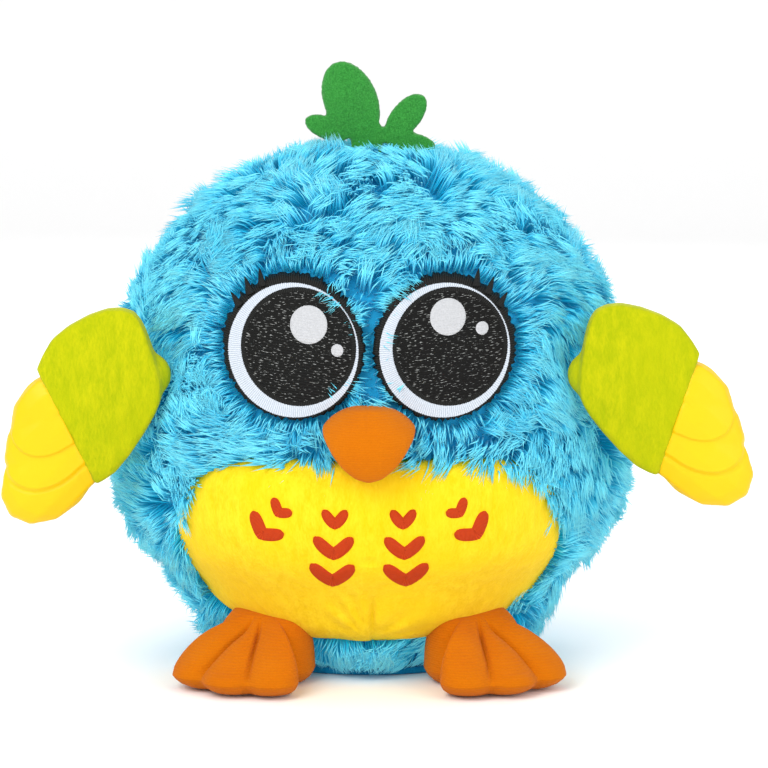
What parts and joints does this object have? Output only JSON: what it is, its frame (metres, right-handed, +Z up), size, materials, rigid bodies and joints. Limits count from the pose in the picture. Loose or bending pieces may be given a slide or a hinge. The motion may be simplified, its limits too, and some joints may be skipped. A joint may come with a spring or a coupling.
{
  "type": "interactive plush pet",
  "caption": "Round stuffed plush bird with embroidered eyes, padded belly, motor-driven flapping wings, a belly press switch and a battery module behind a rear flap.",
  "frame": {"origin": "centre of the flat base panel, on the surface that it stands on", "axes": "+Z up, -Y the way the face looks, +X the bird's own left"},
  "size_m": [0.2434, 0.1666, 0.2026],
  "materials": {
    "fur": "matte",
    "belly_plush": "matte",
    "wing_plush": "matte",
    "soft_vinyl": "satin",
    "knit": "matte",
    "felt": "matte",
    "embroidery": "satin",
    "hook_tape": "matte",
    "shell_plastic": "satin",
    "gear_plastic": "satin",
    "dark_plastic": "satin",
    "board": "satin",
    "steel": "satin",
    "cell_wrap": "gloss",
    "cone_paper": "matte"
  },
  "bodies": {
    "body": {"plush_body": "fur", "base_panel": "fur", "belly_panel": "belly_plush", "beak": "knit", "leaf_crest": "felt", "hook_strip": "hook_tape", "housing_front": "shell_plastic", "housing_rear": "shell_plastic", "circuit_board": "board", "switch_body": "dark_plastic", "speaker_frame": "steel", "speaker_cone": "cone_paper", "microphone": "steel", "press_spring": "steel", "tact_switch": "dark_plastic", "switch_board": "board", "yoke_cover": "shell_plastic", "gear_plate": "shell_plastic", "crank_axle": "steel", "gear_axle_1": "steel", "gear_axle_2": "steel", "motor": "steel", "housing_screw_1": "steel", "housing_screw_2": "steel", "housing_screw_3": "steel", "housing_screw_4": "steel", "battery_1": "cell_wrap", "battery_spring_1": "steel", "contact_plate_1": "steel", "battery_2": "cell_wrap", "battery_spring_2": "steel", "contact_plate_2": "steel", "battery_3": "cell_wrap", "battery_spring_3": "steel", "contact_plate_3": "steel", "eye_patch_left": "embroidery", "foot_left": "knit", "eye_patch_right": "embroidery", "foot_right": "knit"},
    "wing_left": {"wing_plush_left": "wing_plush", "wing_tip_left": "soft_vinyl", "wing_arm_left": "shell_plastic", "wing_shaft_left": "steel", "sector_gear_left": "gear_plastic"},
    "wing_right": {"wing_plush_right": "wing_plush", "wing_tip_right": "soft_vinyl", "wing_arm_right": "shell_plastic", "wing_shaft_right": "steel", "sector_gear_right": "gear_plastic"},
    "yoke": {"yoke_slider": "gear_plastic"},
    "crank": {"crank_gear": "gear_plastic"},
    "compound_2": {"compound_gear_2": "gear_plastic"},
    "compound_1": {"compound_gear_1": "gear_plastic"},
    "pinion": {"motor_pinion": "gear_plastic", "motor_shaft": "steel"},
    "press": {"press_plate": "shell_plastic"},
    "slider": {"switch_slider": "dark_plastic"},
    "door": {"battery_door": "shell_plastic", "battery_door_screw": "steel"},
    "flap": {"closure_flap": "fur"}
  },
  "joints": [
    {"name": "wing_left_flap", "type": "hinge", "parent": "body", "child": "wing_left", "pos_m": [0.071, -0.018, 0.103], "axis": [0, -1, 0], "range_deg": [0, 42]},
    {"name": "wing_right_flap", "type": "hinge", "parent": "body", "child": "wing_right", "pos_m": [-0.071, -0.018, 0.103], "axis": [0, 1, 0], "range_deg": [0, 42]},
    {"name": "yoke_slide", "type": "slide", "parent": "body", "child": "yoke", "axis": [0, 0, -1], "range_m": [0, 0.00733]},
    {"name": "crank_spin", "type": "hinge", "parent": "body", "child": "crank", "pos_m": [0, -0.0105, 0.09], "axis": [0, 1, 0], "continuous": true},
    {"name": "compound_2_spin", "type": "hinge", "parent": "body", "child": "compound_2", "pos_m": [-0.01353, -0.006, 0.08507], "axis": [0, 1, 0], "continuous": true},
    {"name": "compound_1_spin", "type": "hinge", "parent": "body", "child": "compound_1", "pos_m": [-0.0025, -0.003, 0.07582], "axis": [0, 1, 0], "continuous": true},
    {"name": "motor_spin", "type": "hinge", "parent": "body", "child": "pinion", "pos_m": [0.00929, -0.001, 0.08408], "axis": [0, 1, 0], "continuous": true},
    {"name": "belly_press", "type": "slide", "parent": "body", "child": "press", "axis": [0, 1, 0], "range_m": [0, 0.0025], "stiffness_N_per_m": 400, "springref_m": -0.001, "deforming": ["press_spring"]},
    {"name": "power_switch", "type": "slide", "parent": "body", "child": "slider", "axis": [1, 0, 0], "range_m": [0, 0.003]},
    {"name": "battery_door_lift", "type": "slide", "parent": "body", "child": "door", "axis": [0, 1, 0], "range_m": [0, 0.003]},
    {"name": "flap_open", "type": "hinge", "parent": "body", "child": "flap", "pos_m": [0, 0.0725, 0.0998], "axis": [1, 0, 0], "range_deg": [0, 110]}
  ],
  "couplings": [
    {"joint": "wing_right_flap", "follows": "wing_left_flap", "ratio": 1},
    {"joint": "yoke_slide", "follows": "wing_left_flap", "m_per_rad": 0.01},
    {"joint": "compound_2_spin", "follows": "crank_spin", "ratio": -3},
    {"joint": "compound_1_spin", "follows": "crank_spin", "ratio": 9},
    {"joint": "motor_spin", "follows": "crank_spin", "ratio": -27}
  ]
}
